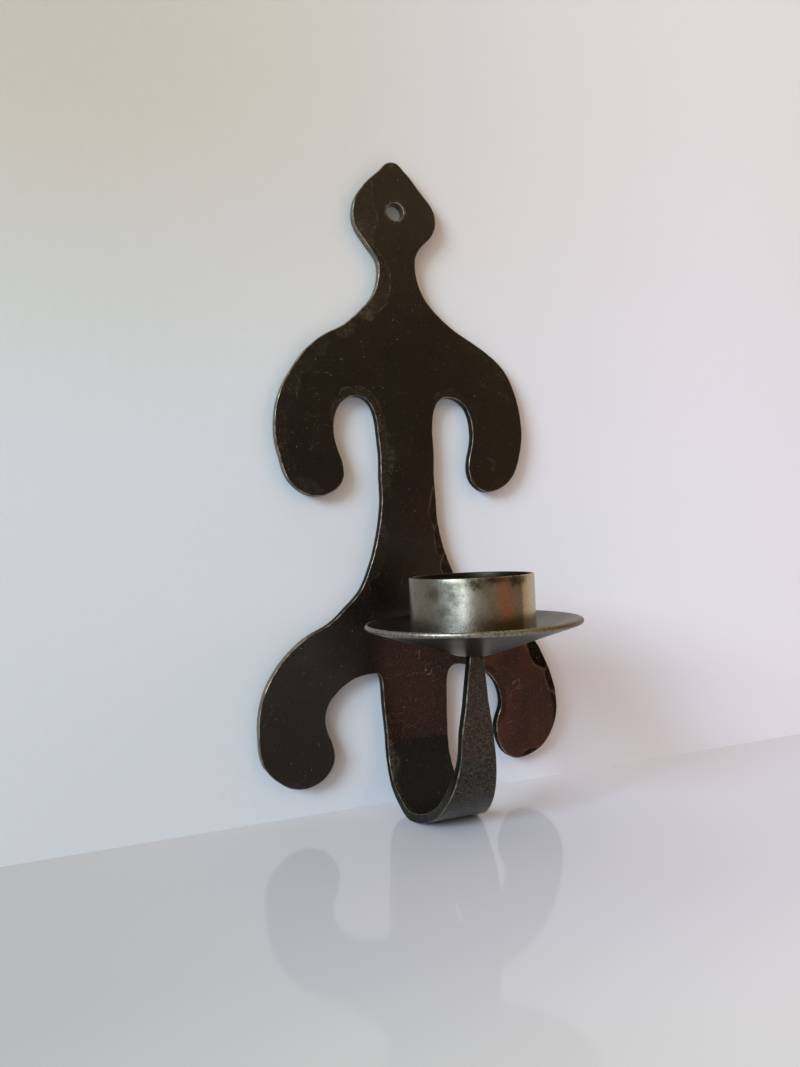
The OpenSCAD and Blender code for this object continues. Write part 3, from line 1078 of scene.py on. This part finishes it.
# The arris is painted bright and partly metallic: partly rubbed steel, partly a painted highlight along the
# edge.
arris = black.both(arris_share, black.ramp(black.noise(0.004, detail=3), 0.42, 0.62, 0.15, 0.9))
arris = black.less(arris, bend_rim, 0.35)
black.lay(arris, (132, 124, 108))
black.report("sides and arrises")

# %% [markdown]
# ## Gloss
#
# The plate looks brown less by its own colour than by what it reflects: waxed steel is a
# dark, slightly rough mirror of a dim room. So the colour stays almost black, and the
# strength of the reflection carries the looks. It is weaker on the sides, in the painted
# red reflection, in the painted dark facets and on the limb. Inside the bend it is almost
# gone and cooler, part of the painted shade there, and two soft spots at the left of the
# pan and over the lower left lobe weaken it as painted shade too.

# %% Gloss and shader
side_sheen = black.ramp(side_share, 0, 1, 0.5, 0.08)
bend_sheen = black.ramp(bend_hollow_shade, 0, 1, 0.5, 0.02)
sheen = black.math("MINIMUM", side_sheen, bend_sheen)
sheen = black.less(sheen, red_reflection_zone, 0.45)
sheen = black.both(sheen, black.ramp(tone, -1, 0, 0.2, 1))
sheen = black.less(sheen, limb, 0.6)
sheen = black.less(sheen, black.both(limb, limb_low), 0.6)
# Painted shade: the reflection is made weaker in two soft spots, left of the pan and over the lower left
# lobe.
sheen = black.less(sheen, black.spot((-24, -4, -166), 26), 0.55)
sheen = black.less(sheen, black.spot((-50, -4, -200), 45), 0.75)
fine = black.noise(0.0012, detail=5, roughness=0.7)
roughness = black.most(black.ramp(fine, 0.3, 0.7, 0.16, 0.24), black.both(side_share, 0.5))
texture = black.both(crumb, black.ramp(limb, 0, 1, 0.3, 1.0))
WARM_SHEEN = (0.98, 0.875, 0.80)
COOL_SHEEN = (0.82, 0.95, 1.0)
black.surface(
    Base_Color=black.skin,
    Metallic=black.both(arris, 0.3),
    Specular_IOR_Level=sheen,
    Specular_Tint=black.blend(bend_hollow_shade, WARM_SHEEN, COOL_SHEEN),
    Roughness=roughness,
    Normal=black.bump(texture, 0.00006))
black.report("its gloss")

# %% [markdown]
# ## A finished piece
#
# The bracket is now turned from millimetres into metres, given its finish, and hung on
# the one body of the holder in place of the CAD solid. The other pieces end the same
# way.

# %% End a piece
def to_piece(bm, name, material, node):
    """Ends a piece: mesh in metres, material, and the CAD node that it stands for."""
    bmesh.ops.scale(bm, vec=(MM, MM, MM), verts=bm.verts)
    mesh = bpy.data.meshes.new(name)
    bm.to_mesh(mesh)
    bm.free()
    mesh.materials.append(material)
    piece = bpy.data.objects.new(name, mesh)
    bpy.context.scene.collection.objects.link(piece)
    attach(piece, "root")
    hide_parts(node)
    triangles = sum(len(face.vertices) - 2 for face in mesh.polygons)
    print(name, "has", triangles, "triangles")


to_piece(bracket, "forged_plate_and_arm", black.material, "forged_bracket")

# %% [markdown]
# ## Pan and cup
#
# Both are sheet steel worked round an axis, on the real holder over a wooden former. A
# cylinder with an inset would do for the cup but not for the pan's slope and rolled rim,
# so each is a section turned once round the axis. A section is a closed line of points
# in mm: the distance from the axis and the height.

# %% Turning a section
def turned(section):
    """A ring-shaped piece round the cup's axis."""
    bm = bmesh.new()
    line = [bm.verts.new((r, CUP_AXIS_Y, z)) for r, z in section]
    edges = [bm.edges.new(pair) for pair in zip(line, line[1:] + line[:1])]
    bmesh.ops.spin(bm, geom=line + edges, cent=(0, CUP_AXIS_Y, 0), axis=(0, 0, 1),
                   angle=math.tau, steps=160, use_merge=True, use_duplicate=False)
    bmesh.ops.remove_doubles(bm, verts=bm.verts, dist=1e-4)
    bmesh.ops.recalc_face_normals(bm, faces=bm.faces)
    for face in bm.faces:
        face.smooth = True
    return bm


def arc(centre_r, centre_z, radius, first, last, steps):
    """Points on an arc of the section, angles in degrees from outwards."""
    points = []
    for step in range(steps + 1):
        a = math.radians(first + (last - first) * step / steps)
        points.append((centre_r + radius * math.cos(a), centre_z + radius * math.sin(a)))
    return points


def line_to(start, end, steps):
    """Points from start to end without the start."""
    return [(start[0] + (end[0] - start[0]) * k / steps, start[1] + (end[1] - start[1]) * k / steps)
            for k in range(1, steps + 1)]


print("a quarter arc of 2 mm ends at", [round(v, 2) for v in arc(0, 0, 2, 0, 90, 4)[-1]])

# %% Drip pan
PAN_R = 36.5
PAN_T = 1.8
PAN_FLOOR_R = 7.0
PAN_DEPTH = 11.3
BORE_R = 1.6
pan_slope = math.atan2(PAN_DEPTH - PAN_T, PAN_R - PAN_T / 2 - PAN_FLOOR_R)
slope_degrees = math.degrees(pan_slope)
mitre = PAN_T / 2 * math.tan(pan_slope / 2)
rim = arc(PAN_R - PAN_T / 2, PAN_BOTTOM + PAN_DEPTH - PAN_T / 2, PAN_T / 2,
          slope_degrees - 90, slope_degrees + 90, 8)
pan_section = [(BORE_R, PAN_BOTTOM)]
pan_section += line_to(pan_section[-1], (PAN_FLOOR_R + mitre, PAN_BOTTOM), 3)
pan_section += line_to(pan_section[-1], rim[0], 14)
pan_section += rim[1:]
pan_section += line_to(rim[-1], (PAN_FLOOR_R - mitre, PAN_BOTTOM + PAN_T), 14)
pan_section += line_to(pan_section[-1], (BORE_R, PAN_BOTTOM + PAN_T), 3)
pan = turned(pan_section)
print("the pan slopes", round(slope_degrees, 1), "degrees")

# %% Candle cup
CUP_R = 21.0
CUP_T = 1.2
CUP_H = 20.2
CUP_BOTTOM = -161.61
FOOT_R = 1.5
RIM_R = 0.35
INNER_FOOT_R = 0.8
COUNTERSINK_R = 2.9
rim_z = CUP_BOTTOM + CUP_H - RIM_R
inner_foot_z = CUP_BOTTOM + CUP_T + INNER_FOOT_R
cup_section = [(BORE_R, CUP_BOTTOM)]
cup_section += line_to(cup_section[-1], (CUP_R - FOOT_R, CUP_BOTTOM), 6)
cup_section += arc(CUP_R - FOOT_R, CUP_BOTTOM + FOOT_R, FOOT_R, -90, 0, 5)[1:]
cup_section += line_to(cup_section[-1], (CUP_R, rim_z), 12)
cup_section += arc(CUP_R - RIM_R, rim_z, RIM_R, 0, 90, 3)[1:]
cup_section += arc(CUP_R - CUP_T + RIM_R, rim_z, RIM_R, 90, 180, 3)
cup_section += line_to(cup_section[-1], (CUP_R - CUP_T, inner_foot_z), 12)
cup_section += arc(CUP_R - CUP_T - INNER_FOOT_R, inner_foot_z, INNER_FOOT_R, 0, -90, 4)[1:]
cup_section += line_to(cup_section[-1], (COUNTERSINK_R, CUP_BOTTOM + CUP_T), 6)
cup = turned(cup_section)
print("the cup takes a candle of up to", round(2 * (CUP_R - CUP_T), 1), "mm")

# %% [markdown]
# ## Finish of the pan
#
# The pan is darkened sheet steel, duller than the cup. Its top is painted lighter at the
# right, a painted reflection of the daylight. Its underside is dark olive with one reddish
# patch, a painted reflection of something warm. Its rolled rim is rubbed bright, with a
# brassy tint at the right. The tones change round the axis. They use the sine of the
# angle and not the angle itself, which jumps at the back and would leave a seam there.

# %% Distance and angle round the axis
class RoundFinish(Finish):
    """A finish for a turned piece, that also knows the place round the cup's axis."""

    def __init__(self, name):
        super().__init__(name)
        from_axis = self.add("ShaderNodeVectorMath", operation="SUBTRACT")
        self.put(self.place, from_axis.inputs[0])
        from_axis.inputs[1].default_value = (0, CUP_AXIS_Y * MM, 0)
        split = self.add("ShaderNodeSeparateXYZ")
        self.put(from_axis.outputs[0], split.inputs[0])
        x_away = split.outputs["X"]
        y_away = split.outputs["Y"]
        squares = self.math("ADD", self.both(x_away, x_away), self.both(y_away, y_away))
        self.radius = self.math("SQRT", squares)
        self.angle = self.math("ARCTAN2", x_away, self.both(y_away, -1.0))
        self.right = self.math("SINE", self.angle)


dull = RoundFinish("pan_steel")
dull.report("the place round the axis")

# %% Pan steel
pan_cloud = dull.noise(0.010, detail=4)
pan_fine = dull.noise(0.0008, detail=4)
dull.skin = dull.mix(dull.ramp(pan_cloud, 0.3, 0.7), (60, 58, 48), (75, 72, 60))
# Painted reflection: a reddish patch on the underside, for something warm mirrored in it.
red_reflection_patch = dull.both(dull.ramp(dull.angle, -0.75, -0.45),
                           dull.ramp(dull.angle, -0.05, -0.20),
                           dull.ramp(pan_cloud, 0.35, 0.6))
dull.lay(red_reflection_patch, (84, 56, 42))
dark_right = dull.ramp(dull.right, -0.30, 0.30, 0, 0.8)
dull.lay(dark_right, (50, 44, 33))
normal = dull.add("ShaderNodeSeparateXYZ")
dull.put(dull.add("ShaderNodeNewGeometry").outputs["Normal"], normal.inputs[0])
# Painted reflection: the top of the pan is painted lighter at the right, where it mirrors the daylight.
on_top = dull.ramp(normal.outputs["Z"], 0.3, 0.6)
lit_right = dull.ramp(dull.right, 0.2, 0.96)
top_painted_reflection = dull.mix(lit_right, (60, 57, 52), (130, 123, 113))
dull.lay(on_top, top_painted_reflection)
dull.report("faces")

# %% Rubbed rim of the pan
on_rim = dull.ramp(dull.radius, 0.0352, 0.0360)
rim_colour = dull.mix(dull.ramp(pan_fine, 0.35, 0.65), (102, 99, 90), (150, 146, 134))
brassy = dull.both(dull.ramp(dull.right, -0.2, 0.48), 0.8)
rim_colour = dull.blend(brassy, rim_colour, colour(118, 96, 62))
dull.surface(
    Base_Color=dull.blend(on_rim, dull.skin, rim_colour),
    Metallic=1.0,
    Roughness=dull.ramp(pan_cloud, 0.3, 0.7, 0.30, 0.40),
    Normal=dull.bump(pan_fine, 0.00003))
dull.report("the rubbed rim")

# %% [markdown]
# ## Finish of the cup
#
# The cup is satin steel, the brightest piece. Old wax and fingers left ragged brown
# stains on it, some near the left of its front and a row below its rim. Ordinary noise
# would put them anywhere. So each is an ellipse in mm on the unrolled wall, and noise
# only frays its edge.

# %% Stains and a painted orange reflection by place
satin = RoundFinish("cup_steel")
unrolled = satin.add("ShaderNodeCombineXYZ")
satin.put(satin.both(satin.angle, CUP_R * MM), unrolled.inputs[0])
satin.put(satin.axis("Z"), unrolled.inputs[1])


def blotch(along, height, half_width, half_height, ragged=1.0):
    """A ragged patch on the cup's wall, for the stains and the painted orange reflection. along is in mm
    round the wall from its front.
    """
    moved = satin.add("ShaderNodeMapping", vector_type="TEXTURE")
    satin.put(unrolled.outputs[0], moved.inputs["Vector"])
    moved.inputs["Location"].default_value = (along * MM, height * MM, 0)
    moved.inputs["Scale"].default_value = (half_width * MM, half_height * MM, 1)
    length = satin.add("ShaderNodeVectorMath", operation="LENGTH")
    satin.put(moved.outputs[0], length.inputs[0])
    fray = satin.both(satin.uneven(0.0018, 6, roughness=0.75), 3.0 * ragged)
    return satin.ramp(satin.math("ADD", length.outputs["Value"], fray), 0.0, 1.15, 1, 0)


left_stains = satin.most(
    blotch(-22.4, -146.0, 4.6, 4.6, 0.8),
    blotch(-16.4, -147.2, 2.8, 5.6, 0.9),
    blotch(-18.6, -151.0, 4.0, 3.2, 1.1))
top_stains = satin.most(
    blotch(-8.8, -143.2, 3.2, 2.4, 1.2),
    blotch(-3.0, -142.2, 8.0, 2.4, 1.1),
    blotch(5.5, -142.8, 6.0, 2.8, 1.0))
stains = satin.most(satin.both(left_stains, 0.72), satin.both(top_stains, 0.95))
# Painted reflection: an orange streak of something warm, drawn as two long blotches.
orange_reflection = satin.most(
    blotch(0.8, -148.5, 3.8, 9.0, 0.35),
    blotch(1.8, -152.0, 3.8, 6.0, 0.35))
satin.report("stains")

# %% [markdown]
# Under the stains the satin changes round the wall: silvery at the left and greyer at
# its far edge, brown in the middle and pale straw at the right. These tones are painted
# reflections of the room round the cup. The inside and the floor are dull and dark.

# %% Cup steel
cup_cloud = satin.noise(0.007, detail=5, roughness=0.65)
cup_fine = satin.noise(0.0007, detail=5, roughness=0.7)
satin.skin = satin.mix(satin.ramp(cup_cloud, 0.38, 0.66), (173, 169, 160), (135, 128, 111))
# Painted reflections by the angle round the axis: a greyer far left, a brown middle and a pale straw right.
for share, over in (
        (satin.ramp(satin.right, -0.68, -0.96, 0, 0.75), (110, 105, 94)),
        (satin.ramp(satin.right, -0.445, -0.16, 0, 0.85), (132, 119, 93)),
        (satin.ramp(satin.right, 0.35, 0.46), (214, 198, 163)),
        (satin.ramp(cup_fine, 0.50, 0.70, 0, 0.35), (84, 78, 66)),
        (stains, (66, 55, 42)),
        (satin.both(orange_reflection, 0.56), (172, 104, 66))):
    satin.lay(share, over)
satin.report("tones")

# %% Painted reflection at the foot, inside and shader of the cup
# Painted reflection: darker brown low at the right of the cup, for the pan mirrored in it.
foot_pan_reflection = satin.both(satin.ramp(satin.right, -0.2, 0.39), satin.zone("Z", -152.5, -156.5))
satin.lay(foot_pan_reflection, (70, 56, 38), 0.45)
inside = satin.both(satin.ramp(satin.radius, 0.0206, 0.0203), satin.zone("Z", -161.0, -160.6))
satin.lay(inside, (46, 42, 36))
duller = satin.both(satin.most(stains, inside), 0.12)
satin.surface(
    Base_Color=satin.skin,
    Metallic=1.0,
    Roughness=satin.math("ADD", satin.ramp(cup_fine, 0.3, 0.7, 0.24, 0.36), duller),
    Normal=satin.bump(cup_fine, 0.00003))
satin.report("its inside")

# %% [markdown]
# ## Pan, cup and collar on the holder
#
# The collar between the two floors can't be seen from anywhere. It keeps its CAD shape
# and only gets the steel of the pan.

# %% End pan and cup
to_piece(pan, "drip_pan_dish", dull.material, "drip_pan")
to_piece(cup, "candle_cup_shell", satin.material, "candle_cup")
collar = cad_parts["spacer_collar"]
collar.data.materials.clear()
collar.data.materials.append(dull.material)
print("the collar is made of", collar.data.materials[0].name)

# %% [markdown]
# ## Size
#
# The box of all that is shown now may differ from the box of the CAD solids, found at the
# start, by a millimetre at most, and only by the hammered edge.
